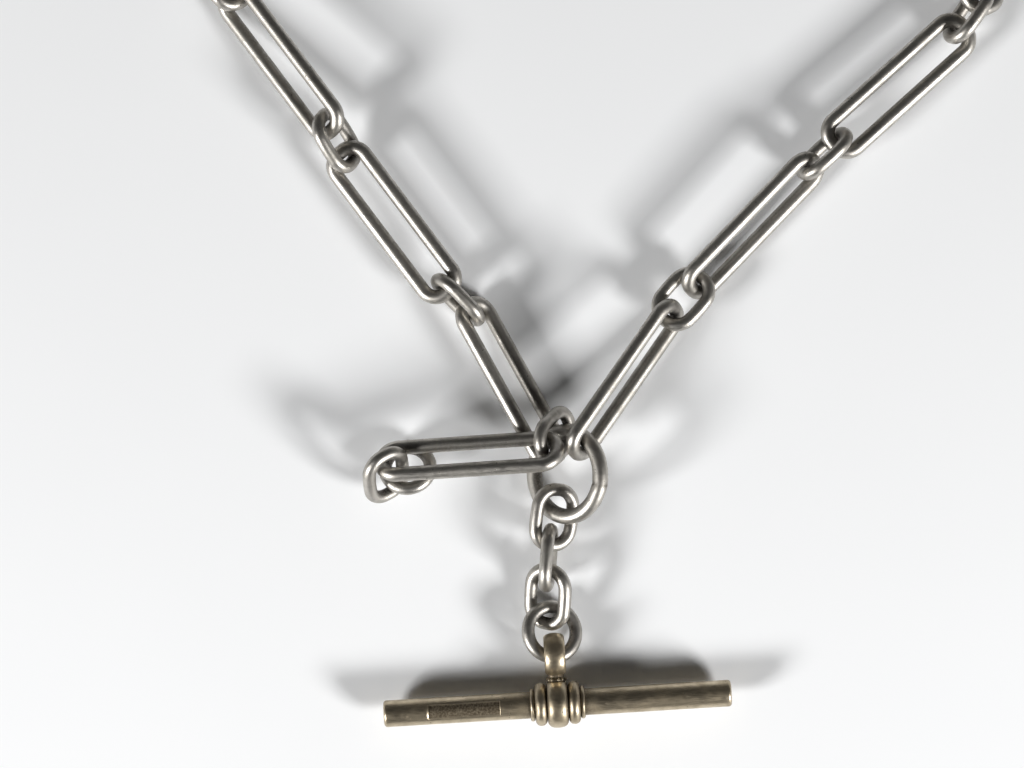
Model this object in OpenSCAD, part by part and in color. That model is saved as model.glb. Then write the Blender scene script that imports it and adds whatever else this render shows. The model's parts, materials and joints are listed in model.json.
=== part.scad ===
// Double Albert pocket watch chain, lying slack on a flat surface.
// Two arms of long links and oval rings leave one round centre ring, and each arm ends in a swivel clip.
// A drop for a fob and a drop for a T-bar leave the same ring. Sizes are in millimetres, and Z is up.

/* [Long links] */
// Outer length of a long link
long_length = 20.8; // [19:0.1:22]
// Outer width of a long link
long_width = 5.6; // [5.4:0.1:6]
// Diameter of the wire of a long link
long_wire = 1.6; // [1.3:0.05:1.65]

/* [Rings] */
// Outer length of an oval ring
oval_length = 7.6; // [7.4:0.1:8]
// Outer width of an oval ring
oval_width = 5.5; // [5.3:0.1:5.8]
// Outer diameter of the small round rings
round_outer = 6.4; // [6.2:0.1:6.8]
// Diameter of the wire of the oval and round rings
ring_wire = 1.45; // [1.2:0.05:1.5]
// Outer diameter of the centre ring
centre_outer = 11; // [10.6:0.1:11.6]
// Diameter of the wire of the centre ring
centre_wire = 1.75; // [1.5:0.05:1.85]
// Height of the middle of the centre ring
centre_height = 4; // [4:0.05:4.3]
// Tilt of the centre ring, right side up
centre_tilt = 40; // [35:1:45]
// Outer diameter of the larger round ring, next to the T-bar
bail_ring_outer = 7; // [6.8:0.1:7.2]
// Clearance between two hooked wires
play = 0.06; // [0.04:0.01:0.1]

/* [T-bar] */
// Length of the T-bar from end to end
bar_length = 38; // [34:0.5:42]
// Diameter of the bar
bar_diameter = 2.9; // [2.6:0.1:3]
// Diameter of the centre band
band_diameter = 5.3; // [5:0.1:5.8]
// Width of the centre band along the bar
band_width = 2.3; // [2:0.1:2.6]
// Outer diameter of the bail
bail_outer = 4.8; // [4.6:0.1:5.2]
// Width of the bail along its bore
bail_width = 2.3; // [2:0.1:2.5]

/* [Swivel clips] */
// Width of the hook of a clip between the middles of its two sides
hook_width = 6.4; // [6.4:0.1:6.8]
// Length of the straight side of the hook
hook_side = 6.5; // [6:0.1:8]
// Diameter of the bar that the hook is bent from
hook_wire = 1.8; // [1.6:0.05:1.9]

/* [Hidden] */
$fn = 48;

SILVER = [0.72, 0.71, 0.69];
NICKEL = [0.66, 0.62, 0.50];
STEEL = [0.55, 0.56, 0.58];

// A piece's size: outer length, outer width and wire diameter
LONG = [long_length, long_width, long_wire];
OVAL = [oval_length, oval_width, ring_wire];
ROUND = [round_outer, round_outer, ring_wire];
BAIL_RING = [bail_ring_outer, bail_ring_outer, ring_wire];
BAIL = [bail_outer, bail_outer, 1.3];
SWIVEL = [5.4, 5, 1.3];

// Each run lists its pieces outwards from the centre ring. A row holds the size, the heading, climb
// and roll in degrees, where round the far bend of the piece before it hooks on, where round its own
// near bend it is hooked, and its slack in millimetres. A heading of 90 is +Y.
LEFT_ARM = [
    [LONG, 119, 0, 42, 0, 28, 0.15], [OVAL, 134, 10, -76, 28, 9, 0.2],
    [LONG, 127, 0, -14, 9, -2, 0.1], [OVAL, 122, 20, 50, -4, 0, 0.1],
    [LONG, 127, -7, -40, 24, -2, 0.1], [OVAL, 108, 4, 30, -4, 0, 0.1],
    [LONG, 90, -1, -35, -5, -2, 0.3], [OVAL, 68, 1, 54, 0, 4, 0.1],
    [LONG, 46, 0, -32, 4, 0, 0.15], [OVAL, 20, 3, 70, 3, 0, 0.1],
    [SWIVEL, 0, -4, 0, 25, 10, 0.1]
];
RIGHT_ARM = [
    [LONG, 55, -9, 57, 0, -16, 0], [OVAL, 48, -3, -15, 0, 4, 0.05],
    [LONG, 46, 1, 48, 2, -2, 0.05], [OVAL, 43, 2, -69, 0, -2, 0.05],
    [LONG, 42, -1, 5, 1, 0, 0.1], [OVAL, 55, -2, -68, 0, 0, 0.1],
    [LONG, 118, 0, 27, 0, 0, 0.2], [OVAL, 140, 0, -57, 2, 0, 0.1],
    [LONG, 162, 1, 29, 2, 0, 0.1], [OVAL, 172, 4, -60, 0, 2, 0.15],
    [SWIVEL, 180, -4, 8, 15, 0, 0.2]
];
FOB_DROP = [
    [OVAL, 223, 48, -34, 0, 44, 0], [LONG, 184, -8, 45, 16, -4, 0],
    [OVAL, 273, -46, -32, 7, 44, 0.5], [ROUND, 5, 2, -28, 55, -46, 0]
];
BAR_DROP = [
    [OVAL, 263, -6, -24, 0, 17, 0.9], [OVAL, 265, 6, -83, -12, 2, 0.15],
    [OVAL, 267, -15, 29, 6, 8, 0.25], [BAIL_RING, 277, 10, -21, 11, -1, 0.35],
    [BAIL, 273.5, 0, 90, 1, -5, 0.6]
];
// Where round the centre ring each run hooks on, in degrees from its right-hand side
LEFT_AT = 147;
RIGHT_AT = 53;
FOB_AT = 103;
BAR_AT = 242;

// Middle of the centre ring, placed so that the whole chain is centred on the origin
centre = [-3.95, -34.7, centre_height];

// Directions of a piece's length and width
function along(p) = [cos(p[1]) * cos(p[2]), sin(p[1]) * cos(p[2]), sin(p[2])];
function across(p) = [
    -sin(p[3]) * sin(p[2]) * cos(p[1]) - cos(p[3]) * sin(p[1]),
    -sin(p[3]) * sin(p[2]) * sin(p[1]) + cos(p[3]) * cos(p[1]),
    sin(p[3]) * cos(p[2])
];

// Length between the middles of a piece's two end wires, and the reach of its end bends
function span(p) = p[0][0] - p[0][2];
function bend(p) = (p[0][1] - p[0][2]) / 2;

// A hook is a point on a wire's middle line, the wire's direction there and the wire's diameter.
// bend_hook is on the far bend of a piece whose near end is at start, turned round the bend by angle.
function bend_hook(start, p, angle) = [
    start + (span(p) - bend(p) * (1 - cos(angle))) * along(p) + bend(p) * sin(angle) * across(p),
    cos(angle) * across(p) - sin(angle) * along(p),
    p[0][2]
];
function ring_hook(angle) = [
    centre + (centre_outer - centre_wire) / 2
        * [cos(angle) * cos(centre_tilt), sin(angle), cos(angle) * sin(centre_tilt)],
    [-sin(angle) * cos(centre_tilt), cos(angle), -sin(angle) * sin(centre_tilt)],
    centre_wire
];

// Where the middle of a piece's near end wire goes, so that its near bend bears on the hook
function hooked(hook, p) =
    let (
        turn = p[5],
        wire = cos(turn) * across(p) + sin(turn) * along(p),
        inward = cos(turn) * along(p) - sin(turn) * across(p),
        normal = cross(hook[1], wire),
        pull = normal * sign(normal * inward) / norm(normal),
        contact = hook[0] - ((hook[2] + p[0][2]) / 2 + play + p[6]) * pull
    )
    contact - bend(p) * (1 - cos(turn)) * along(p) - bend(p) * sin(turn) * across(p);

// The near ends of all pieces of a run
function starts(hook, run, i = 0) =
    i == len(run) ? [] :
    let (start = hooked(hook, run[i]), next = i + 1 < len(run) ? run[i + 1][4] : 0)
    concat([start], starts(bend_hook(start, run[i], next), run, i + 1));

LEFT_STARTS = starts(ring_hook(LEFT_AT), LEFT_ARM);
RIGHT_STARTS = starts(ring_hook(RIGHT_AT), RIGHT_ARM);
FOB_STARTS = starts(ring_hook(FOB_AT), FOB_DROP);
BAR_STARTS = starts(ring_hook(BAR_AT), BAR_DROP);

// ---- Wire ----

// Straight stretch across the end of a link or an oval ring
END_FLAT = 0.5;

// A quarter bend of wire round the point given, from the direction given
module quarter_bend(at, from, radius, wire) {
    translate(at)
        rotate([0, 0, from])
            rotate_extrude(angle = 90)
                translate([radius, 0])
                    circle(d = wire);
}

// A straight wire that starts at the point given and runs the way heading points
module straight_wire(at, heading, length, wire) {
    translate(at)
        rotate([0, 90, heading])
            cylinder(d = wire, h = length);
}

// A link or ring: its near end wire crosses the origin, and it reaches along +X
module wire_loop(size) {
    wire = size[2];
    reach = size[0] - wire;
    half = (size[1] - wire) / 2;
    flat = size[0] > size[1] ? END_FLAT : 0;
    radius = half - flat / 2;
    if (flat == 0) {
        translate([half, 0, 0])
            rotate_extrude()
                translate([half, 0])
                    circle(d = wire);
    } else {
        quarter_bend([reach - radius, flat / 2, 0], 0, radius, wire);
        quarter_bend([radius, flat / 2, 0], 90, radius, wire);
        quarter_bend([radius, -flat / 2, 0], 180, radius, wire);
        quarter_bend([reach - radius, -flat / 2, 0], 270, radius, wire);
        for (side = [-half, half])
            straight_wire([radius, side, 0], 0, reach - 2 * radius, wire);
        for (end = [0, reach])
            straight_wire([end, -flat / 2, 0], 90, flat, wire);
    }
}

module centre_ring() {
    color(SILVER)
        translate(centre)
            rotate([0, -centre_tilt, 0])
                rotate_extrude()
                    translate([(centre_outer - centre_wire) / 2, 0])
                        circle(d = centre_wire);
}

// Puts its children where piece i of a run lies, with the piece's length along +X
module placed(run, run_starts, i) {
    translate(run_starts[i])
        rotate([run[i][3], -run[i][2], run[i][1]])
            children();
}

module chain_piece(run, run_starts, i) {
    color(SILVER)
        placed(run, run_starts, i)
            wire_loop(run[i][0]);
}

// ---- T-bar, drawn from the bail outwards: +X runs from the bail to the bar, and Z along the bar ----

// Gap between two parts that are pushed together
FIT = 0.02;
BAIL_RIM = 1.05;
BAIL_INNER = bail_outer / 2 - BAIL_RIM;
BAIL_MIDDLE = bend([BAIL]);
// Height of the foot that shows between the bail and the band
NECK = 0.31;
BAR_AXIS = BAIL_MIDDLE + bail_outer / 2 + NECK + band_diameter / 2;
// How far the foot reaches into the bail's rim
FOOT_ROOT = 0.5;
FLANGE_DIAMETER = band_diameter - 0.6;
FLANGE_WIDTH = 1.3;
COLLAR_DIAMETER = bar_diameter + 0.7;
COLLAR_WIDTH = 0.5;
FOOT_DIAMETER = 2;
PEG_DIAMETER = 1.2;
// Length, width and depth of the sunken panel
PANEL = [7.8, 1.5, 0.12];
PANEL_AT = 10.2;
BAR_BEVEL = 0.35;
// Width of the bail's rounded outline, before its edges are cut flat, over its own width
LENS_RATIO = 1.14;

// Puts its children at the middle of the bar, with the bar along Z
module at_bar() {
    placed(BAR_DROP, BAR_STARTS, len(BAR_DROP) - 1)
        translate([BAR_AXIS, 0, 0])
            children();
}

module t_bar() {
    color(NICKEL)
        at_bar()
            difference() {
                union() {
                    cylinder(d = bar_diameter, h = bar_length - 2 * BAR_BEVEL, center = true);
                    for (end = [0, 1])
                        mirror([0, 0, end])
                            translate([0, 0, bar_length / 2 - BAR_BEVEL])
                                cylinder(d1 = bar_diameter, d2 = bar_diameter - 2 * BAR_BEVEL, h = BAR_BEVEL);
                }
                // the sunken panel on top of the left arm, left blank, with a floor that follows the bar
                intersection() {
                    translate([-PANEL[1] / 2, 0, PANEL_AT - PANEL[0] / 2])
                        cube([PANEL[1], bar_diameter, PANEL[0]]);
                    difference() {
                        translate([0, 0, PANEL_AT - PANEL[0] / 2 - 1])
                            cylinder(d = bar_diameter + 1, h = PANEL[0] + 2);
                        translate([0, 0, PANEL_AT - PANEL[0] / 2 - 2])
                            cylinder(d = bar_diameter - 2 * PANEL[2], h = PANEL[0] + 4);
                    }
                }
            }
}

// Place of the middle of each flange and collar along the bar
FLANGE_AT = band_width / 2 + FIT + FLANGE_WIDTH / 2;
COLLAR_AT = FLANGE_AT + FLANGE_WIDTH / 2 + FIT + COLLAR_WIDTH / 2;

// A turned ring round the bar, with its middle at the place given
module sleeve(diameter, width, at) {
    translate([0, 0, at - width / 2])
        difference() {
            cylinder(d = diameter, h = width);
            translate([0, 0, -1])
                cylinder(d = bar_diameter + 2 * FIT, h = width + 2);
        }
}

module t_bar_centre_band() {
    color(NICKEL)
        at_bar()
            difference() {
                sleeve(band_diameter, band_width, 0);
                rotate([0, -90, 0])
                    cylinder(d = PEG_DIAMETER + 2 * FIT, h = band_diameter);
            }
}

// side is 1 for the left arm of the bar and -1 for the right
module t_bar_flange(side) {
    color(NICKEL)
        at_bar()
            sleeve(FLANGE_DIAMETER, FLANGE_WIDTH, side * FLANGE_AT);
}

module t_bar_collar(side) {
    color(NICKEL)
        at_bar()
            sleeve(COLLAR_DIAMETER, COLLAR_WIDTH, side * COLLAR_AT);
}

// The outline of the bail's rim: rounded inside and out, with flat edges
module bail_section() {
    lens = bail_width * LENS_RATIO;
    arc = (BAIL_RIM * BAIL_RIM + lens * lens) / (4 * BAIL_RIM);
    intersection() {
        translate([bail_outer / 2 - arc, 0])
            circle(r = arc);
        translate([BAIL_INNER + arc, 0])
            circle(r = arc);
        translate([0, -bail_width / 2])
            square([bail_outer, bail_width]);
    }
}

module t_bar_bail() {
    foot_start = BAIL_MIDDLE + bail_outer / 2 - FOOT_ROOT;
    foot_end = BAR_AXIS - band_diameter / 2 - FIT;
    peg_end = BAR_AXIS - bar_diameter / 2 - 2 * FIT;
    color(NICKEL)
        placed(BAR_DROP, BAR_STARTS, len(BAR_DROP) - 1) {
            translate([BAIL_MIDDLE, 0, 0])
                rotate_extrude()
                    bail_section();
            straight_wire([foot_start, 0, 0], 0, foot_end - foot_start, FOOT_DIAMETER);
            straight_wire([foot_start, 0, 0], 0, peg_end - foot_start, PEG_DIAMETER);
        }
}

// ---- Swivel clip, drawn from the eye outwards: +X runs to the tip of the hook, and Z is its thickness ----

RUNNING_GAP = 0.1;
EYE_END = span([SWIVEL]);
SHANK_DIAMETER = 1.3;
SHANK_BORE = SHANK_DIAMETER + RUNNING_GAP;
SHOULDER_DIAMETER = 2.6;
// The shoulder starts inside the end wire of the eye
SHOULDER_START = EYE_END + 0.3;
SHOULDER_END = EYE_END + 1;
BOSS_DIAMETER = 3.6;
BOSS_LENGTH = 2.3;
BOSS_AT = SHOULDER_END + RUNNING_GAP;
HEAD_DIAMETER = 2.3;
HEAD_LENGTH = 0.6;
HEAD_AT = BOSS_AT + BOSS_LENGTH + RUNNING_GAP;
HOOK_HALF = hook_width / 2;
TURN_AT = BOSS_AT + BOSS_LENGTH / 2 + HOOK_HALF;
PIVOT_AT = TURN_AT + 1;
// Straight end of the hook that the lever closes on
NOSE_LENGTH = 0.5;
LUG_DIAMETER = 2.2;
// How far the lug reaches back into the bend of the hook
LUG_ROOT = 0.6;
LUG_THICKNESS = 2.3;
LUG_SLOT = 1.3;
RIVET_DIAMETER = 0.8;
// Diameter and height of each rivet head
RIVET_HEAD = [1.5, 0.3];
LEVER_DIAMETER = 1.6;
LEVER_LENGTH = TURN_AT + hook_side - NOSE_LENGTH - 2 * RUNNING_GAP - PIVOT_AT;
LEVER_NECK = 1.3;
// The knuckle turns in the slot of the lug, beside the spring: its diameter, lower face and thickness
KNUCKLE = [2, -0.6, 0.7];
KNUCKLE_NECK = [0.3, 1.4];
THUMB_DIAMETER = 1.2;
THUMB_REACH = 1.4;
// How far the thumb piece stands back from the tip of the lever
THUMB_SET = 1;
SPRING_WIRE = 0.26;
SPRING_RADIUS = 0.72;
SPRING_TURNS = [0.25, 0.47];
SPRING_LEG = 1.15;

module at_clip(run, run_starts) {
    placed(run, run_starts, len(run) - 1)
        children();
}

// The eye turns freely in the boss, held by the head that is peened over inside the hook
module clip_swivel(run, run_starts) {
    color(SILVER)
        at_clip(run, run_starts) {
            wire_loop(SWIVEL);
            straight_wire([EYE_END, 0, 0], 0, HEAD_AT + HEAD_LENGTH - EYE_END, SHANK_DIAMETER);
            straight_wire([SHOULDER_START, 0, 0], 0, SHOULDER_END - SHOULDER_START, SHOULDER_DIAMETER);
            straight_wire([HEAD_AT, 0, 0], 0, HEAD_LENGTH, HEAD_DIAMETER);
        }
}

// The bent bar of the hook, open where the lever closes it
module hook_bar() {
    for (from = [90, 180])
        quarter_bend([TURN_AT, 0, 0], from, HOOK_HALF, hook_wire);
    straight_wire([TURN_AT, -HOOK_HALF, 0], 0, hook_side, hook_wire);
    for (from = [270, 0])
        quarter_bend([TURN_AT + hook_side, 0, 0], from, HOOK_HALF, hook_wire);
    straight_wire([TURN_AT + hook_side - NOSE_LENGTH, HOOK_HALF, 0], 0, NOSE_LENGTH, hook_wire);
}

module clip_lug() {
    translate([PIVOT_AT, HOOK_HALF, 0])
        cylinder(d = LUG_DIAMETER, h = LUG_THICKNESS, center = true);
    translate([TURN_AT - LUG_ROOT, HOOK_HALF - LUG_DIAMETER / 2, -LUG_THICKNESS / 2])
        cube([PIVOT_AT - TURN_AT + LUG_ROOT, LUG_DIAMETER, LUG_THICKNESS]);
}

module clip_body(run, run_starts) {
    color(SILVER)
        at_clip(run, run_starts)
            difference() {
                union() {
                    straight_wire([BOSS_AT, 0, 0], 0, BOSS_LENGTH, BOSS_DIAMETER);
                    hook_bar();
                    clip_lug();
                }
                straight_wire([BOSS_AT - 1, 0, 0], 0, BOSS_LENGTH + 2, SHANK_BORE);
                translate([PIVOT_AT - KNUCKLE[0] / 2 - RUNNING_GAP, HOOK_HALF - LUG_DIAMETER, -LUG_SLOT / 2])
                    cube([2 * LUG_DIAMETER, 2 * LUG_DIAMETER, LUG_SLOT]);
                translate([PIVOT_AT, HOOK_HALF, -LUG_THICKNESS])
                    cylinder(d = RIVET_DIAMETER + 2 * FIT, h = 2 * LUG_THICKNESS);
            }
}

module clip_lever(run, run_starts) {
    color(SILVER)
        at_clip(run, run_starts)
            translate([PIVOT_AT, HOOK_HALF, 0])
                difference() {
                    union() {
                        translate([0, 0, KNUCKLE[1]])
                            cylinder(d = KNUCKLE[0], h = KNUCKLE[2]);
                        translate([0, -KNUCKLE_NECK[1] / 2, KNUCKLE[1]])
                            cube([LEVER_NECK + KNUCKLE_NECK[0], KNUCKLE_NECK[1], KNUCKLE[2]]);
                        straight_wire([LEVER_NECK, 0, 0], 0, LEVER_LENGTH - LEVER_NECK, LEVER_DIAMETER);
                        straight_wire([LEVER_LENGTH - THUMB_SET, 0, 0], 90, THUMB_REACH, THUMB_DIAMETER);
                        translate([LEVER_LENGTH - THUMB_SET, THUMB_REACH, 0])
                            sphere(d = THUMB_DIAMETER);
                    }
                    translate([0, 0, -LUG_THICKNESS])
                        cylinder(d = RIVET_DIAMETER + RUNNING_GAP, h = 2 * LUG_THICKNESS);
                }
}

module clip_rivet(run, run_starts) {
    color(SILVER)
        at_clip(run, run_starts)
            translate([PIVOT_AT, HOOK_HALF, 0]) {
                cylinder(d = RIVET_DIAMETER, h = LUG_THICKNESS + 2 * RIVET_HEAD[1], center = true);
                for (end = [0, 1])
                    mirror([0, 0, end])
                        translate([0, 0, LUG_THICKNESS / 2 + FIT])
                            cylinder(d = RIVET_HEAD[0], h = RIVET_HEAD[1]);
            }
}

// A coil round the rivet, drawn as two closed turns, with one leg along the lever
module clip_spring(run, run_starts) {
    color(STEEL)
        at_clip(run, run_starts)
            translate([PIVOT_AT, HOOK_HALF, 0]) {
                for (height = SPRING_TURNS)
                    translate([0, 0, height])
                        rotate_extrude()
                            translate([SPRING_RADIUS, 0])
                                circle(d = SPRING_WIRE);
                straight_wire([0, SPRING_RADIUS, SPRING_TURNS[0]], 0, SPRING_LEG, SPRING_WIRE);
            }
}

// ---- Nodes ----

// An arm alternates long links and oval rings, up to its clip
ARM_PIECES = 10;
function arm_node(side, i) = str(side, i % 2 == 0 ? "_long_link_" : "_oval_ring_", floor(i / 2) + 1);

FOB_NODES = ["fob_oval_ring_1", "fob_long_link", "fob_oval_ring_2", "fob_round_ring"];
BAR_NODES = ["bar_oval_ring_1", "bar_oval_ring_2", "bar_oval_ring_3", "bar_round_ring"];
BAR_PARTS = [
    "t_bar", "t_bar_centre_band", "t_bar_left_flange", "t_bar_right_flange",
    "t_bar_left_collar", "t_bar_right_collar", "t_bar_bail"
];
CLIP_PARTS = ["_clip_swivel", "_clip_body", "_clip_lever", "_clip_rivet", "_clip_spring"];

centre_ring();

for (i = [0 : ARM_PIECES - 1]) {
    chain_piece(LEFT_ARM, LEFT_STARTS, i);
    chain_piece(RIGHT_ARM, RIGHT_STARTS, i);
}
for (i = [0 : len(FOB_NODES) - 1]) {
    chain_piece(FOB_DROP, FOB_STARTS, i);
}
for (i = [0 : len(BAR_NODES) - 1]) {
    chain_piece(BAR_DROP, BAR_STARTS, i);
}

t_bar();
t_bar_centre_band();
t_bar_flange(1);  // t_bar_left_flange
t_bar_flange(-1);  // t_bar_right_flange
t_bar_collar(1);  // t_bar_left_collar
t_bar_collar(-1);  // t_bar_right_collar
t_bar_bail();

clip_swivel(LEFT_ARM, LEFT_STARTS);  // left_clip_swivel
clip_body(LEFT_ARM, LEFT_STARTS);  // left_clip_body
clip_lever(LEFT_ARM, LEFT_STARTS);  // left_clip_lever
clip_rivet(LEFT_ARM, LEFT_STARTS);  // left_clip_rivet
clip_spring(LEFT_ARM, LEFT_STARTS);  // left_clip_spring

clip_swivel(RIGHT_ARM, RIGHT_STARTS);  // right_clip_swivel
clip_body(RIGHT_ARM, RIGHT_STARTS);  // right_clip_body
clip_lever(RIGHT_ARM, RIGHT_STARTS);  // right_clip_lever
clip_rivet(RIGHT_ARM, RIGHT_STARTS);  // right_clip_rivet
clip_spring(RIGHT_ARM, RIGHT_STARTS);  // right_clip_spring
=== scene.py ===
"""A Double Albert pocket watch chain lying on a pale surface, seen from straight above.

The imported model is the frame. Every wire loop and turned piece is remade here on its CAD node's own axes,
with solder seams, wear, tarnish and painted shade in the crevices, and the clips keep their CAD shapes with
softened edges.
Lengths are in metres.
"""

import json
import random
from math import cos, hypot, pi, radians, sin

import bmesh
import bpy
import numpy as np
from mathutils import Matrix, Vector, noise


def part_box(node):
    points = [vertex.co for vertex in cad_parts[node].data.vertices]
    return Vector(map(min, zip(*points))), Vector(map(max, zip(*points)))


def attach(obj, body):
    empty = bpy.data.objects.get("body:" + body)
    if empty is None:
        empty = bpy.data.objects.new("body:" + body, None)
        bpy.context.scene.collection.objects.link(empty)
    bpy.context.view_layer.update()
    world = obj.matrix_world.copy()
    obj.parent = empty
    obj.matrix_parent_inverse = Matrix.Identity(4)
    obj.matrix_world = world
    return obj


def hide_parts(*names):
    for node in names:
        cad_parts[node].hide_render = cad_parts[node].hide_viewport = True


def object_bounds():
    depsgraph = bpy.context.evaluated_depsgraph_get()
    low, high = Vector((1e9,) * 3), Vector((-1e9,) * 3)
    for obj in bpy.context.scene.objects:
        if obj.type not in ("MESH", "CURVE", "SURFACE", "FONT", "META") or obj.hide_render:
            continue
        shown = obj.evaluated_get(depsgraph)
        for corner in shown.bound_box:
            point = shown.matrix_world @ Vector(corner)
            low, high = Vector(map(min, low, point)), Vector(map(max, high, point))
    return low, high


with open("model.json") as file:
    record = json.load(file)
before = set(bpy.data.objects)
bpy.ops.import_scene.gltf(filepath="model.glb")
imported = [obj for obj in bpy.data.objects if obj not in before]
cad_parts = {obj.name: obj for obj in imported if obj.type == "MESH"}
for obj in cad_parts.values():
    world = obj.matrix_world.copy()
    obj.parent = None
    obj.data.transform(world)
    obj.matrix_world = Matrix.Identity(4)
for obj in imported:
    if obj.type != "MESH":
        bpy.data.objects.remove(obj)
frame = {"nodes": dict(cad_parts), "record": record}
CAD_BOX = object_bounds()
NODES = frame["nodes"]
BODY_OF = {
    node: body
    for body, nodes in frame["record"]["behaviour"]["bodies"].items()
    for node in nodes
}
MM = 0.001
UP = Vector((0, 0, 1))

# ---- Reading the frame ----


class Axes:
    """The middle of a CAD node and its three principal directions, longest first, with its sizes along
    them."""

    def __init__(self, node):
        mesh = NODES[node].data
        mesh.calc_loop_triangles()
        points = np.array([v.co for v in mesh.vertices])
        corners = points[[t.vertices[:] for t in mesh.loop_triangles]]
        edges_a = corners[:, 1] - corners[:, 0]
        edges_b = corners[:, 2] - corners[:, 0]
        areas = np.linalg.norm(np.cross(edges_a, edges_b), axis=1)
        faces = corners.mean(axis=1)
        middle = (faces * areas[:, None]).sum(axis=0) / areas.sum()
        spread = ((faces - middle) * areas[:, None]).T @ (faces - middle)
        directions = np.linalg.eigh(spread)[1].T[::-1]
        low = (points @ directions.T).min(axis=0)
        high = (points @ directions.T).max(axis=0)
        self.middle = Vector(((low + high) / 2) @ directions)
        self.length, self.width, self.depth = (Vector(d) for d in directions)
        self.sizes = high - low

    def at(self, along, across, up):
        """The point that far from the middle along each of the three directions."""
        return self.middle + self.length * along + self.width * across + self.depth * up


def points_from(node, middle, direction):
    """A node's points, counted from middle: how far each is along the direction, and its offset square
    to it."""
    points = np.array([v.co for v in NODES[node].data.vertices]) - np.array(middle)
    along = points @ np.array(direction)
    return along, points - np.outer(along, np.array(direction))


# ---- Mesh building ----


def placed(name, data):
    """A new object with that data, in the scene."""
    thing = bpy.data.objects.new(name, data)
    bpy.context.scene.collection.objects.link(thing)
    return thing


def new_piece(name, vertices, faces, grime_and_shade, body, material):
    """A smooth mesh piece that rides on a body. Its darkening by grime, tarnish and painted shade is one
    number from 0 to 1 for each vertex.
    """
    mesh = bpy.data.meshes.new(name)
    mesh.from_pydata([v[:] for v in vertices], [], faces)
    mesh.update()
    mesh.attributes.new("grime_and_shade", "FLOAT", "POINT").data.foreach_set("value", grime_and_shade)
    shape = bmesh.new()
    shape.from_mesh(mesh)
    bmesh.ops.recalc_face_normals(shape, faces=shape.faces)
    shape.to_mesh(mesh)
    shape.free()
    mesh.shade_smooth()
    mesh.materials.append(material)
    piece = placed(name, mesh)
    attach(piece, body)
    return piece


def ring_faces(rows, columns, closed):
    """Quads of a grid of points that is closed across its columns, and if closed is true along its rows."""
    faces = []
    for row in range(rows if closed else rows - 1):
        after = (row + 1) % rows
        for column in range(columns):
            beside = (column + 1) % columns
            faces.append(
                (
                    row * columns + column,
                    row * columns + beside,
                    after * columns + beside,
                    after * columns + column,
                )
            )
    return faces


def end_faces(rows, columns):
    """The two faces that close the ends of an open grid of points."""
    last = (rows - 1) * columns
    return [tuple(range(columns)), tuple(range(last, last + columns))]


def bump_at(distance, reach):
    """1 at the middle of a narrow mark, falling smoothly to 0 at its reach."""
    share = min(1, abs(distance) / reach)
    return (1 - share * share) ** 2


def noise_share(place):
    """Smooth noise at a place, from 0 to 1."""
    return 0.5 + 0.5 * noise.noise(place)


# ---- Wire loops ----

SECTION_POINTS = 24
BEND_STEPS = 14
STRAIGHT_STEP = 0.35 * MM
# Straight stretch across the end of a link, as the CAD piece has it
END_FLAT = 0.5 * MM
# How much thinner the worn wire is than the CAD wire: everywhere, and at most in some places besides
WORN = 0.006
UNEVEN = 0.012
UNEVEN_SCALE = 1 / (2.4 * MM)
# The bearing faces inside the end bends are polished this much flatter
BEARING_WEAR = 0.02 * MM
# A round ring bears anywhere, so its whole inside has this share of the wear of an end bend
ROUND_WEAR = 0.6
# Half waves of a side's belly between the middle of a loop and its end
BELLY_WAVE = 0.8
OVAL_BELLY = 0.1 * MM
# The solder seam: half widths of its groove and of the lip round it, and the size of its rough spots
GROOVE_REACH = 0.16 * MM
LIP_REACH = 0.7 * MM
SEAM_SCALE = 1 / (0.7 * MM)
DEEP_GROOVE = 0.16 * MM
SHALLOW_GROOVE = 0.02 * MM
RING_LIP = 0.15 * MM
# Where the seams are, in degrees round a loop from one end, or from the right-hand side of a round one
CENTRE_SEAM = -10
LINK_SEAM = 76
# Tarnish and painted shade on the inside of the wire, deepest in the end bends: its depth of colour, its
# share away from the ends, and where it starts
INSIDE_TARNISH_AND_SHADE = 0.85
INSIDE_DARK_AWAY_FROM_ENDS = 0.35
INSIDE_DARK_STARTS = 0.1


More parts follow.
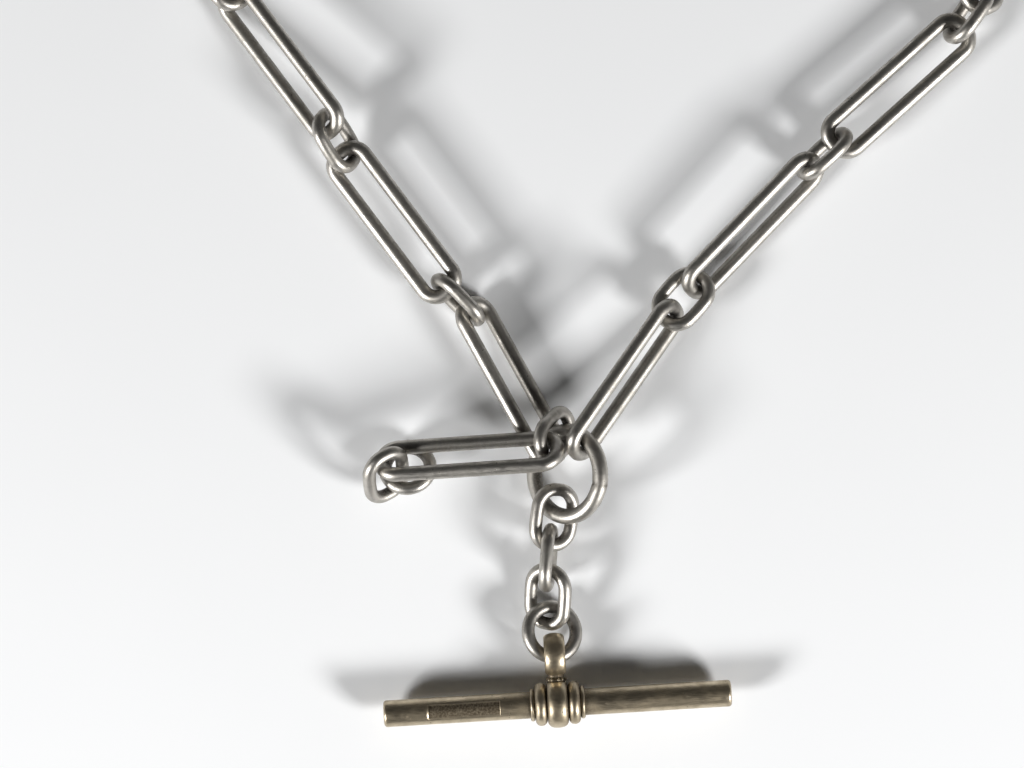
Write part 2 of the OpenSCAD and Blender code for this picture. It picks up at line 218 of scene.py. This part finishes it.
class Loop(Axes):
    """A link or ring of round wire that lies in the plane of its length and width."""

    def __init__(self, node):
        super().__init__(node)
        self.wire = self.sizes[2]
        self.half_length = (self.sizes[0] - self.wire) / 2
        self.half_width = (self.sizes[1] - self.wire) / 2
        self.is_round = self.sizes[0] - self.sizes[1] < END_FLAT / 2
        if self.is_round:
            # a round loop has no longest direction, so its seam is counted from the right-hand side
            right = Vector((1, 0, 0)) - self.depth * self.depth.x
            self.length = right.normalized()
            self.width = self.depth.cross(self.length) * (1 if self.depth.z > 0 else -1)

    def path(self, belly):
        """The middle line of the wire, as points (along, across). belly is how far the sides stand out at
        their middles, and are drawn in towards the ends, as on a hammered ring."""
        radius = self.half_width if self.is_round else self.half_width - END_FLAT / 2
        along = self.half_length - radius
        across = self.half_width - radius
        corners = [(along, across, 0), (-along, across, 90), (-along, -across, 180), (along, -across, 270)]
        path = []
        for i, (x, y, turn) in enumerate(corners):
            for step in range(BEND_STEPS):
                angle = radians(turn + 90 * step / BEND_STEPS)
                path.append((x + radius * cos(angle), y + radius * sin(angle)))
            angle = radians(turn + 90)
            next_x, next_y, _ = corners[(i + 1) % len(corners)]
            end = (x + radius * cos(angle), y + radius * sin(angle))
            start = (next_x + radius * cos(angle), next_y + radius * sin(angle))
            if hypot(start[0] - end[0], start[1] - end[1]) > STRAIGHT_STEP / 4:
                path.extend(straight(end, start))
        return [
            (x, y + y / self.half_width * belly * cos(BELLY_WAVE * pi * x / self.half_length))
            for x, y in path
        ]

    def outward(self, path, step):
        """The direction out of the loop, square to the wire, at a step of its path."""
        before = path[step - 1]
        after = path[(step + 1) % len(path)]
        run = Vector((after[0] - before[0], after[1] - before[1], 0)).normalized()
        out = Vector((run.y, -run.x, 0))
        if out.x * path[step][0] + out.y * path[step][1] < 0:
            out.negate()
        return self.length * out.x + self.width * out.y

    def end_share(self, along):
        """1 at the middle of the end bends, where the neighbours bear, and 0 along the sides."""
        if self.is_round:
            return ROUND_WEAR
        return max(0, min(1, (abs(along) - (self.half_length - self.half_width)) / self.half_width))

    def distances_from_seam(self, path, seam_at):
        """How far along the wire each step of the path is from the seam, which is seam_at degrees round."""
        seam_x = self.half_length * cos(radians(seam_at))
        seam_y = self.half_width * sin(radians(seam_at))
        seam_step = min(range(len(path)), key=lambda i: hypot(path[i][0] - seam_x, path[i][1] - seam_y))
        lengths = [0]
        for before, after in zip(path, path[1:]):
            lengths.append(lengths[-1] + hypot(after[0] - before[0], after[1] - before[1]))
        return [length - lengths[seam_step] for length in lengths]


def straight(start, end):
    """Points from start up to but not including end, one small step apart."""
    count = max(1, round(hypot(end[0] - start[0], end[1] - start[1]) / STRAIGHT_STEP))
    return [
        (start[0] + (end[0] - start[0]) * i / count, start[1] + (end[1] - start[1]) * i / count)
        for i in range(count)
    ]


def wire_loop(node, seam_at, groove_depth, lip, material):
    """Remakes a link or ring: worn wire, darker inside its bends with tarnish and painted shade, and a seam
    seam_at degrees round.
    """
    loop = Loop(node)
    path = loop.path(OVAL_BELLY if "oval" in node else 0)
    from_seam = loop.distances_from_seam(path, seam_at)
    vertices = []
    grime_and_shade = []
    for step, (x, y) in enumerate(path):
        centre = loop.at(x, y, 0)
        out = loop.outward(path, step)
        end = loop.end_share(x)
        groove = bump_at(from_seam[step], GROOVE_REACH)
        bulge = bump_at(from_seam[step], LIP_REACH)
        for k in range(SECTION_POINTS):
            angle = 2 * pi * k / SECTION_POINTS
            side = cos(angle)
            direction = out * side + loop.depth * sin(angle)
            place = centre + direction * loop.wire
            uneven = noise_share(place * UNEVEN_SCALE)
            broken = noise_share(place * SEAM_SCALE)
            radius = loop.wire / 2 * (1 - WORN - UNEVEN * uneven)
            radius -= BEARING_WEAR * end * max(0, -side) ** 3
            radius += lip * bulge * max(0, side) - groove_depth * groove * broken
            vertices.append(centre + direction * radius)
            # Tarnish and painted shade on the side of the wire that faces the middle of the loop, most in the
            # end bends
            inside = INSIDE_TARNISH_AND_SHADE * max(0, -side - INSIDE_DARK_STARTS)
            seam_dirt = groove * broken * groove_depth / DEEP_GROOVE
            near_end = INSIDE_DARK_AWAY_FROM_ENDS + (1 - INSIDE_DARK_AWAY_FROM_ENDS) * end
            grime_and_shade.append(min(1, inside * near_end + seam_dirt))
    faces = ring_faces(len(path), SECTION_POINTS, True)
    piece = new_piece(node + "_wire", vertices, faces, grime_and_shade, BODY_OF[node], material)
    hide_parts(node)


# ---- Turned pieces on the bar ----

T_BAR_BODY = "t_bar_assembly"
TURN_POINTS = 72
BEAD_STEPS = 16
BAR_STEPS = 70
# Radius of the rounded edge at each end of the bar, and its end face's rings as shares of the bar's radius
BAR_EDGE = 0.35 * MM
EDGE_STEPS = 4
END_RINGS = (0.05, 0.4, 0.7)
END_GRIME = 0.1
# The panel on the bar: its length and width, its place, how far it is sunk, and how far its walls lean
PANEL_SIZE = (7.8 * MM, 1.5 * MM)
PANEL_AT = 10.2 * MM
PANEL_DEPTH = 0.12 * MM
PANEL_WALL = 0.06 * MM
PANEL_GRIME = 0.75
# How much thinner the worn bar is in places, and how long those places are
BAR_WEAR = 0.012 * MM
BAR_WEAR_LENGTH = 3 * MM
# Tarnish and painted shade gather where the bar meets its collars: how far from its middle, how far they
# spread, how dark
COLLARS_AT = 3 * MM
COLLAR_DARK_REACH = 1.6 * MM
COLLAR_TARNISH_AND_SHADE = 0.5
# How squarely each kind of bead is rounded: 2 is a half circle, and more is squarer
BAND_SQUARENESS = 2.5
FLANGE_SQUARENESS = 2.1
COLLAR_SQUARENESS = 2
# Gap between a bead and the bar, and how far up the bead its rounding starts
BEAD_GAP = 0.02 * MM
BEAD_FOOT = 0.25
# Tarnish and painted shade at the foot of a bead, where it meets the bar
BEAD_FOOT_TARNISH_AND_SHADE = 0.95


class Bar(Axes):
    """The bar of the T, with its length running to the left and its top upwards."""

    def __init__(self, node):
        super().__init__(node)
        if self.length.x > 0:
            self.length.negate()
        self.depth = (UP - self.length * UP.dot(self.length)).normalized()
        self.width = self.depth.cross(self.length)
        self.radius = self.sizes[1] / 2

    def reach(self, node):
        """Where a sleeve on the bar starts and ends along it, and its outer radius."""
        places, off = points_from(node, self.middle, self.length)
        return places.min(), places.max(), np.linalg.norm(off, axis=1).max()


def turned(name, bar, profile, closed, detail, material):
    """A turned piece round the bar's axis. profile lists (place, radius, darkening by tarnish and painted
    shade), and detail gives the cut and the grime that a carved mark adds at a place and angle."""
    vertices = []
    grime_and_shade = []
    for place, radius, dirt_and_shade in profile:
        for k in range(TURN_POINTS):
            angle = 2 * pi * k / TURN_POINTS
            cut, mark = detail(place, angle)
            here = radius - cut
            vertices.append(bar.at(place, here * sin(angle), here * cos(angle)))
            grime_and_shade.append(min(1, dirt_and_shade + mark))
    faces = ring_faces(len(profile), TURN_POINTS, closed)
    if not closed:
        faces += end_faces(len(profile), TURN_POINTS)
    return new_piece(name, vertices, faces, grime_and_shade, T_BAR_BODY, material)


def plain(place, angle):
    """No carved mark."""
    return 0, 0


def panel(place, angle):
    """The sunken panel on the left arm of the bar, left blank."""
    if cos(angle) < 0:
        return 0, 0
    from_end = PANEL_SIZE[0] / 2 - abs(place - PANEL_AT)
    from_side = PANEL_SIZE[1] / 2 - abs(sin(angle)) * BAR.radius
    # the outline of the panel runs half way up its leaning walls
    share = max(0, min(1, min(from_end, from_side) / PANEL_WALL + 0.5))
    return PANEL_DEPTH * share, PANEL_GRIME * share


def bar_profile(bar):
    """The bar from end to end, with rounded edges and closer rings at the panel's ends."""
    half = bar.sizes[0] / 2
    end = [(half, bar.radius * share, END_GRIME) for share in END_RINGS]
    for step in range(EDGE_STEPS + 1):
        angle = pi / 2 * step / EDGE_STEPS
        place = half - BAR_EDGE * (1 - cos(angle))
        end.append((place, bar.radius - BAR_EDGE * (1 - sin(angle)), END_GRIME))
    places = [-half + BAR_EDGE + 2 * (half - BAR_EDGE) * i / BAR_STEPS for i in range(1, BAR_STEPS)]
    for side in (-1, 1):
        wall = PANEL_AT + side * PANEL_SIZE[0] / 2
        places += [wall + PANEL_WALL * share for share in (-1, -0.5, 0, 0.5)]
    middle = []
    for place in sorted(places, reverse=True):
        # Tarnish and painted shade on the bar beside each collar
        near = bump_at(abs(place) - COLLARS_AT, COLLAR_DARK_REACH)
        uneven = noise_share(Vector((place / BAR_WEAR_LENGTH, 0, 0)))
        middle.append((place, bar.radius - BAR_WEAR * uneven, COLLAR_TARNISH_AND_SHADE * near))
    return end + middle + [(-place, radius, dirt_and_shade) for place, radius, dirt_and_shade in reversed(end)]


def bead(bar, node, squareness, material):
    """Remakes a sleeve on the bar as a rounded bead, darker with tarnish and painted shade where it meets its
    neighbours.
    """
    low, high, outer = bar.reach(node)
    inner = bar.radius + BEAD_GAP
    foot = inner + BEAD_FOOT * (outer - inner)
    profile = []
    for step in range(BEAD_STEPS + 1):
        angle = pi * step / BEAD_STEPS
        across = abs(cos(angle)) ** (2 / squareness) * (1 if cos(angle) > 0 else -1)
        rise = sin(angle) ** (2 / squareness)
        place = (low + high) / 2 + (high - low) / 2 * across
        profile.append((place, foot + (outer - foot) * rise, BEAD_FOOT_TARNISH_AND_SHADE * (1 - rise)))
    profile += [(low, inner, 1), (high, inner, 1)]
    piece = turned(node + "_bead", bar, profile, True, plain, material)
    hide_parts(node)


# ---- The bail ----

BAIL_STEPS = 64
BAIL_SECTION = 28
# How much darker the inside of the bail's rim is
BAIL_INSIDE_DARK = 0.8
# Share of the CAD rim that the worn rim fills
BAIL_WORN = 0.99
# The foot: where each of its rings is between the bail and the band, and that ring's radius
FOOT_RINGS = ((0, 0.95 * MM), (0.35, 0.85 * MM), (0.65, 0.88 * MM), (0.85, 1.0 * MM), (1, 1.15 * MM))
FOOT_POINTS = 40
# How far the foot reaches into the bail and into the band
FOOT_IN_BAIL = 0.35 * MM
FOOT_IN_BAND = 0.12 * MM
FOOT_ROUGHNESS = 0.05 * MM
FOOT_ROUGH_SCALE = 1 / (0.3 * MM)
FOOT_GRIME = 0.75
# The drops of solder round the foot: their number, the seed of their scatter, the circle they sit on, and
# their least and added radius
SOLDER_DROPS = 9
SOLDER_SEED = 5
SOLDER_CIRCLE = 0.98 * MM
SOLDER_RADIUS = 0.15 * MM
SOLDER_SPREAD = 0.09 * MM
SOLDER_ROUGHNESS = 0.25
SOLDER_ROUGH_SCALE = 1 / (0.2 * MM)
SOLDER_GRIME = 0.45
# How far out of step a drop may be, as a share of the step between two
SOLDER_JITTER = 0.8


def bail(bar, node, material):
    """Remakes the bail as a ring with a full rounded rim, on a short foot soldered to the centre band."""
    places, off = points_from(node, bar.middle, bar.length)
    out = off.mean(axis=0) / np.linalg.norm(off.mean(axis=0))
    side = np.cross(np.array(bar.length), out)
    outer = (off @ side).max()
    to_centre = (off @ out).max() - outer
    inner = np.linalg.norm(off - out * to_centre, axis=1).min()
    rim = (outer - inner) / 2
    half_width = places.max()
    centre = bar.middle + Vector(out) * float(to_centre)
    vertices = []
    grime_and_shade = []
    for i in range(BAIL_STEPS):
        turn = 2 * pi * i / BAIL_STEPS
        spoke = Vector(out) * cos(turn) + Vector(side) * sin(turn)
        for k in range(BAIL_SECTION):
            angle = 2 * pi * k / BAIL_SECTION
            from_middle = BAIL_WORN * rim * cos(angle)
            across = BAIL_WORN * half_width * sin(angle)
            vertices.append(centre + spoke * (inner + rim + from_middle) + bar.length * across)
            grime_and_shade.append(BAIL_INSIDE_DARK * max(0, -cos(angle)) ** 2)
    faces = ring_faces(BAIL_STEPS, BAIL_SECTION, True)
    ring = new_piece(node + "_ring", vertices, faces, grime_and_shade, T_BAR_BODY, material)
    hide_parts(node)
    foot_of_bail(bar, Vector(out), centre, outer, material)


def foot_of_bail(bar, out, centre, outer, material):
    """The foot between the bail and the centre band, with the rough drops of its solder."""
    band = bar.reach("t_bar_centre_band")[2]
    start = centre - out * (outer - FOOT_IN_BAIL)
    length = (start - bar.middle).dot(out) - band + FOOT_IN_BAND
    side = bar.length.cross(out)
    foot = bmesh.new()
    grime_and_shade = foot.verts.layers.float.new("grime_and_shade")
    rings = []
    for share, radius in FOOT_RINGS:
        ring = []
        for k in range(FOOT_POINTS):
            angle = 2 * pi * k / FOOT_POINTS
            spoke = bar.length * cos(angle) + side * sin(angle)
            rough = FOOT_ROUGHNESS * noise.noise((start + spoke * MM) * FOOT_ROUGH_SCALE + out * share)
            vertex = foot.verts.new(start - out * length * share + spoke * (radius + rough))
            vertex[grime_and_shade] = FOOT_GRIME
            ring.append(vertex)
        rings.append(ring)
    for ring, after in zip(rings, rings[1:]):
        for k in range(FOOT_POINTS):
            beside = (k + 1) % FOOT_POINTS
            foot.faces.new((ring[k], ring[beside], after[beside], after[k]))
    foot.faces.new(rings[0])
    foot.faces.new(rings[-1])
    chance = random.Random(SOLDER_SEED)
    for k in range(SOLDER_DROPS):
        angle = 2 * pi * (k + SOLDER_JITTER * chance.random()) / SOLDER_DROPS
        spoke = bar.length * cos(angle) + side * sin(angle)
        middle = start - out * (length - FOOT_IN_BAND) + spoke * SOLDER_CIRCLE
        radius = SOLDER_RADIUS + SOLDER_SPREAD * chance.random()
        drop = bmesh.ops.create_icosphere(foot, subdivisions=2, radius=radius)
        for vertex in drop["verts"]:
            rough = SOLDER_ROUGHNESS * noise.noise((middle + vertex.co) * SOLDER_ROUGH_SCALE)
            vertex.co = middle + vertex.co * (1 + rough)
            vertex[grime_and_shade] = SOLDER_GRIME
    bmesh.ops.recalc_face_normals(foot, faces=foot.faces)
    mesh = bpy.data.meshes.new("t_bar_bail_foot")
    foot.to_mesh(mesh)
    foot.free()
    mesh.shade_smooth()
    mesh.materials.append(material)
    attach(placed("t_bar_bail_foot", mesh), T_BAR_BODY)


# ---- The clips ----

EDGE_ROUNDING = 0.06 * MM
# An edge is rounded if it turns more sharply than this, in degrees
SHARP_EDGE = 35
# CAD facets share no points, and points closer than this are joined
SAME_POINT = 0.002 * MM
COIL_TURNS = 3
COIL_STEPS = 24
COIL_SECTION = 8
# Radius of the coil's wire as a share of the height of a turn
COIL_WIRE = 0.45
# Share of the CAD leg's reach that the coil's leg has
COIL_LEG = 0.8
COIL_GRIME = 0.3
# A rivet is long if its length is this many times its width, and flat otherwise
LONG_RIVET = 1.5


def finished(node, material):
    """Keeps a CAD node's shape and gives it a real finish."""
    piece = NODES[node]
    piece.data.materials.clear()
    piece.data.materials.append(material)
    return piece


def softened(node, material):
    """Keeps a CAD node, with its edges rounded and a real finish."""
    piece = finished(node, material)
    joined = piece.modifiers.new("joined facets", "WELD")
    joined.merge_threshold = SAME_POINT
    rounding = piece.modifiers.new("rounded edges", "BEVEL")
    rounding.width = EDGE_ROUNDING
    rounding.segments = 3
    rounding.limit_method = "ANGLE"
    rounding.angle_limit = radians(SHARP_EDGE)
    rounding.harden_normals = True
    # the facets of a round face are narrower than the rounding, and would hold it back
    rounding.use_clamp_overlap = False


def coil_spring(side, material):
    """A coil round the clip's rivet with one leg along the lever, in place of its closed CAD turns."""
    node = side + "_clip_spring"
    rivet = Axes(side + "_clip_rivet")
    pin = rivet.length if rivet.sizes[0] > LONG_RIVET * rivet.sizes[1] else rivet.depth
    heights, flat = points_from(node, rivet.middle, pin)
    wire = (heights.max() - heights.min()) / (COIL_TURNS + 1)
    low = heights.min() + wire / 2
    high = heights.max() - wire / 2
    reach = np.linalg.norm(flat, axis=1)
    radius = np.median(reach) - wire / 2
    tip = Vector(flat[reach.argmax()]).normalized()
    # the leg is tangent to the coil, so the coil starts square to it
    start = pin.cross(tip)
    path = []
    steps = COIL_STEPS * COIL_TURNS
    for i in range(steps + 1):
        turn = 2 * pi * i / COIL_STEPS
        spoke = start * cos(turn) + tip * sin(turn)
        path.append(rivet.middle + pin * (low + (high - low) * i / steps) + spoke * radius)
    path.append(path[-1] + tip * float(reach.max() - wire) * COIL_LEG)
    vertices = []
    for i, point in enumerate(path):
        run = (path[min(i + 1, len(path) - 1)] - path[max(i - 1, 0)]).normalized()
        up = (pin - run * pin.dot(run)).normalized()
        beside = run.cross(up)
        for k in range(COIL_SECTION):
            angle = 2 * pi * k / COIL_SECTION
            vertices.append(point + (up * cos(angle) + beside * sin(angle)) * (wire * COIL_WIRE))
    faces = ring_faces(len(path), COIL_SECTION, False) + end_faces(len(path), COIL_SECTION)
    piece = new_piece(node + "_coil", vertices, faces, [COIL_GRIME] * len(vertices), BODY_OF[node], material)
    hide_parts(node)


# ---- Materials ----

PATCH_SIZE = 1.7 * MM
GRAIN_SIZE = 0.22 * MM
SCRATCH_SIZE = 0.9 * MM
PIT_SPACING = 0.6 * MM
# Pits come in groups of about this size
PIT_GROUPS = 2.6 * MM
RELIEF = 0.06 * MM
RELIEF_STRENGTH = 0.35
# A pattern runs from 0 to 1, and each of these is where it starts to show and where it shows in full
PATCH_EDGE = (0.38, 0.66)
PIT_EDGE = (0.06, 0.2)
PIT_GROUP_EDGE = (0.5, 0.6)
SCRATCH_EDGE = (0.44, 0.56)
# Turn of the scratches about each axis, and how much finer they are across their run than along it
SCRATCH_TURN = (0.4, 0.9, 0.7)
SCRATCH_FINENESS = (1, 9, 9)
# The grain breaks up the tarnish and painted shade: where it starts and ends doing so, and the share left at
# each
GRAIN_EDGE = (0.3, 0.6)
GRAIN_SHARES = (0.7, 1.25)
# How much colour the dull patches and the pits have
PATCH_COLOUR = 0.8
PIT_COLOUR = 0.8
# What the dull patches, the tarnish and the scratches add to the roughness
PATCH_ROUGHNESS = 0.12
TARNISH_ROUGHNESS = 0.3
SCRATCH_ROUGHNESS = 0.06
# The relief: its height from the grain, and how far the pits and the scratches cut into it
GRAIN_HEIGHTS = (0.4, 0.7)
PIT_CUT = 0.5
SCRATCH_CUT = 0.12
# The pale surface: its two tones, how rough and how shiny it is, and the size of its blotches
PAPER_DARK = (0.9, 0.91, 0.925)
PAPER_LIGHT = (0.93, 0.94, 0.952)
PAPER_ROUGHNESS = 0.75
PAPER_SHINE = 0.2
SURFACE_BLOTCHES = 40 * MM


def node_of(tree, kind, **values):
    """A new shader node, with its inputs and properties set by name."""
    node = tree.nodes.new(kind)
    for key, value in values.items():
        if key in node.inputs:
            node.inputs[key].default_value = value
        else:
            setattr(node, key, value)
    return node


def ramped(tree, source, low, high, low_value, high_value):
    """source mapped from the range low..high to low_value..high_value, and held there outside it."""
    ramp = node_of(tree, "ShaderNodeMapRange")
    for name, value in (("From Min", low), ("From Max", high), ("To Min", low_value), ("To Max", high_value)):
        ramp.inputs[name].default_value = value
    tree.links.new(source, ramp.inputs["Value"])
    return ramp.outputs["Result"]


def combined(tree, operation, a, b):
    """Two values put together by a maths operation and clamped, where b is a socket or a number."""
    maths = node_of(tree, "ShaderNodeMath", operation=operation, use_clamp=True)
    tree.links.new(a, maths.inputs[0])
    if isinstance(b, (int, float)):
        maths.inputs[1].default_value = b
    else:
        tree.links.new(b, maths.inputs[1])
    return maths.outputs[0]


def mixed(tree, a, b, share):
    """A mix of two colours, where a is a colour or a socket, and share is a socket."""
    mix = node_of(tree, "ShaderNodeMix", data_type="RGBA")
    if isinstance(a, tuple):
        mix.inputs["A"].default_value = (*a, 1)
    else:
        tree.links.new(a, mix.inputs["A"])
    mix.inputs["B"].default_value = (*b, 1)
    tree.links.new(share, mix.inputs["Factor"])
    return mix.outputs["Result"]


def speckle(tree, place, size, detail):
    """A noise pattern whose blotches are about that size."""
    pattern = node_of(tree, "ShaderNodeTexNoise", Scale=1 / size, Detail=detail, Roughness=0.6)
    tree.links.new(place, pattern.inputs["Vector"])
    return pattern.outputs["Fac"]


def pits_at(tree, place):
    """Small pits in groups: the middles of a few cells of a fine cell pattern."""
    cells = node_of(tree, "ShaderNodeTexVoronoi", Scale=1 / PIT_SPACING)
    tree.links.new(place, cells.inputs["Vector"])
    pits = ramped(tree, cells.outputs["Distance"], *PIT_EDGE, 1, 0)
    groups = ramped(tree, speckle(tree, place, PIT_GROUPS, 2), *PIT_GROUP_EDGE, 0, 1)
    return combined(tree, "MULTIPLY", pits, groups)


def scratches_at(tree, place):
    """Fine scratches that all run roughly one way."""
    along = node_of(tree, "ShaderNodeMapping")
    along.inputs["Rotation"].default_value = SCRATCH_TURN
    along.inputs["Scale"].default_value = SCRATCH_FINENESS
    tree.links.new(place, along.inputs["Vector"])
    return ramped(tree, speckle(tree, along.outputs["Vector"], SCRATCH_SIZE, 6), *SCRATCH_EDGE, 0, 1)


def tarnished_metal(name, bright, dull, tarnish_and_shade, polish):
    """Worn metal: bright where it is handled, dull in patches, dark with tarnish and painted shade in the
    crevices, and dark in the pits. polish is the roughness of its bright parts."""
    material = bpy.data.materials.new(name)
    material.use_nodes = True
    tree = material.node_tree
    shader = tree.nodes["Principled BSDF"]
    shader.inputs["Metallic"].default_value = 1
    place = node_of(tree, "ShaderNodeTexCoord").outputs["Object"]
    crevice = node_of(tree, "ShaderNodeAttribute", attribute_name="grime_and_shade").outputs["Fac"]
    patches = ramped(tree, speckle(tree, place, PATCH_SIZE, 5), *PATCH_EDGE, 0, 1)
    grain = speckle(tree, place, GRAIN_SIZE, 3)
    pits = pits_at(tree, place)
    scratches = scratches_at(tree, place)

    # The dark share: tarnish and painted shade from the vertex darkening, broken up by the grain, and the
    # pits where darker
    grime_shade_and_pits = combined(tree, "MULTIPLY", crevice, ramped(tree, grain, *GRAIN_EDGE, *GRAIN_SHARES))
    grime_shade_and_pits = combined(tree, "MAXIMUM", grime_shade_and_pits, combined(tree, "MULTIPLY", pits, PIT_COLOUR))
    worn = mixed(tree, bright, dull, combined(tree, "MULTIPLY", patches, PATCH_COLOUR))
    tree.links.new(mixed(tree, worn, tarnish_and_shade, grime_shade_and_pits), shader.inputs["Base Color"])

    rough = ramped(tree, patches, 0, 1, polish, polish + PATCH_ROUGHNESS)
    rough = combined(tree, "ADD", rough, combined(tree, "MULTIPLY", grime_shade_and_pits, TARNISH_ROUGHNESS))
    rough = combined(tree, "ADD", rough, ramped(tree, scratches, 0, 1, 0, SCRATCH_ROUGHNESS))
    tree.links.new(rough, shader.inputs["Roughness"])

    relief = ramped(tree, grain, 0, 1, *GRAIN_HEIGHTS)
    relief = combined(tree, "SUBTRACT", relief, combined(tree, "MULTIPLY", pits, PIT_CUT))
    relief = combined(tree, "SUBTRACT", relief, ramped(tree, scratches, 0, 1, 0, SCRATCH_CUT))
    bump = node_of(tree, "ShaderNodeBump", Strength=RELIEF_STRENGTH, Distance=RELIEF)
    tree.links.new(relief, bump.inputs["Height"])
    tree.links.new(bump.outputs["Normal"], shader.inputs["Normal"])
    return material


def paper():
    """The pale surface that the chain lies on."""
    material = bpy.data.materials.new("pale surface")
    material.use_nodes = True
    tree = material.node_tree
    shader = tree.nodes["Principled BSDF"]
    shader.inputs["Roughness"].default_value = PAPER_ROUGHNESS
    shader.inputs["Specular IOR Level"].default_value = PAPER_SHINE
    place = node_of(tree, "ShaderNodeTexCoord").outputs["Object"]
    tone = mixed(tree, PAPER_DARK, PAPER_LIGHT, speckle(tree, place, SURFACE_BLOTCHES, 2))
    tree.links.new(tone, shader.inputs["Base Color"])
    return material


# ---- The setting ----

CAMERA_HEIGHT = 0.4
VIEW_WIDTH = 112.6 * MM
# Middle of the view, counted from the middle of the centre ring
VIEW_FROM_RING = Vector((-6 * MM, 9.8 * MM, 0))
SENSOR = 36
CLIP_START = 0.01
SURFACE_REACH = 2
# The two soft boxes stand in front of the chain, to its left and right
SOFT_BOXES = {
    "left_soft_box": Vector((-0.9, -0.58, 0.55)),
    "right_soft_box": Vector((0.85, -0.62, 0.55)),
}
BOX_DISTANCE = 0.6
BOX_SIZE = (0.17, 0.14)
BOX_POWER = 3.6
SOFT_WHITE = (1, 0.995, 0.985)
# Brightness of the studio round the sides and overhead, and the heights where each is reached
WORLD_SIDES = 0.07
WORLD_TOP = 0.015
SIDES_BELOW = 0.25
TOP_ABOVE = 0.95

ring_low, ring_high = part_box("centre_ring")
VIEW_MIDDLE = (ring_low + ring_high) / 2 + VIEW_FROM_RING
VIEW_MIDDLE.z = CAD_BOX[0][2]


def lay_surface():
    """A plain pale surface under the chain."""
    surface = bmesh.new()
    bmesh.ops.create_grid(surface, x_segments=1, y_segments=1, size=SURFACE_REACH)
    mesh = bpy.data.meshes.new("surface")
    surface.to_mesh(mesh)
    surface.free()
    mesh.materials.append(paper())
    piece = placed("surface", mesh)
    piece.location.z = CAD_BOX[0][2]


def soft_light(name, toward):
    """A soft box in that direction from the middle of the view, aimed at it."""
    light = bpy.data.lights.new(name, "AREA")
    light.shape = "RECTANGLE"
    light.size, light.size_y = BOX_SIZE
    light.energy = BOX_POWER
    light.color = SOFT_WHITE
    lamp = placed(name, light)
    lamp.location = VIEW_MIDDLE + toward.normalized() * BOX_DISTANCE
    lamp.rotation_euler = toward.to_track_quat("Z", "Y").to_euler()


def set_world():
    """A studio that is dim overhead and paler round the sides."""
    world = bpy.data.worlds.new("studio")
    bpy.context.scene.world = world
    world.use_nodes = True
    tree = world.node_tree
    direction = node_of(tree, "ShaderNodeTexCoord").outputs["Generated"]
    split = node_of(tree, "ShaderNodeSeparateXYZ")
    tree.links.new(direction, split.inputs[0])
    shade = ramped(tree, split.outputs["Z"], SIDES_BELOW, TOP_ABOVE, WORLD_SIDES, WORLD_TOP)
    background = tree.nodes["Background"]
    background.inputs["Color"].default_value = (1, 1, 1, 1)
    tree.links.new(shade, background.inputs["Strength"])


def set_camera():
    """Straight above the chain, with the whole T-bar and the two arms' near ends in view."""
    camera = bpy.data.cameras.new("camera")
    camera.sensor_width = SENSOR
    camera.lens = SENSOR * CAMERA_HEIGHT / VIEW_WIDTH
    camera.clip_start = CLIP_START
    eye = placed("camera", camera)
    eye.location = VIEW_MIDDLE + UP * CAMERA_HEIGHT
    bpy.context.scene.camera = eye


# ---- The scene ----

SILVER = tarnished_metal(
    "worn silver",
    bright=(0.54, 0.515, 0.475),
    dull=(0.34, 0.322, 0.29),
    tarnish_and_shade=(0.05, 0.042, 0.034),
    polish=0.33,
)
NICKEL = tarnished_metal(
    "worn gilt nickel",
    bright=(0.59, 0.505, 0.37),
    dull=(0.38, 0.315, 0.218),
    tarnish_and_shade=(0.055, 0.042, 0.028),
    polish=0.3,
)
STEEL = tarnished_metal(
    "spring steel",
    bright=(0.5, 0.5, 0.5),
    dull=(0.35, 0.35, 0.36),
    tarnish_and_shade=(0.08, 0.07, 0.06),
    polish=0.3,
)

loops = [node for node in NODES if "_link" in node or "_ring" in node]
for number, node in enumerate(sorted(loops)):
    if node == "centre_ring":
        wire_loop(node, CENTRE_SEAM, DEEP_GROOVE, RING_LIP, SILVER)
    else:
        # the seams of neighbours in the list are on opposite sides
        wire_loop(node, LINK_SEAM if number % 2 else -LINK_SEAM, SHALLOW_GROOVE, 0, SILVER)

BAR = Bar("t_bar")
bar_piece = turned("t_bar_turned", BAR, bar_profile(BAR), False, panel, NICKEL)
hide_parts("t_bar")
bead(BAR, "t_bar_centre_band", BAND_SQUARENESS, NICKEL)
for side in ("left", "right"):
    bead(BAR, f"t_bar_{side}_flange", FLANGE_SQUARENESS, NICKEL)
    bead(BAR, f"t_bar_{side}_collar", COLLAR_SQUARENESS, NICKEL)
bail(BAR, "t_bar_bail", NICKEL)

for side in ("left", "right"):
    for part in ("swivel", "body", "rivet"):
        softened(f"{side}_clip_{part}", SILVER)
    finished(side + "_clip_lever", SILVER)
    coil_spring(side, STEEL)

lay_surface()
for name, toward in SOFT_BOXES.items():
    soft_light(name, toward)
set_world()
set_camera()
bpy.context.scene.view_settings.view_transform = "Standard"
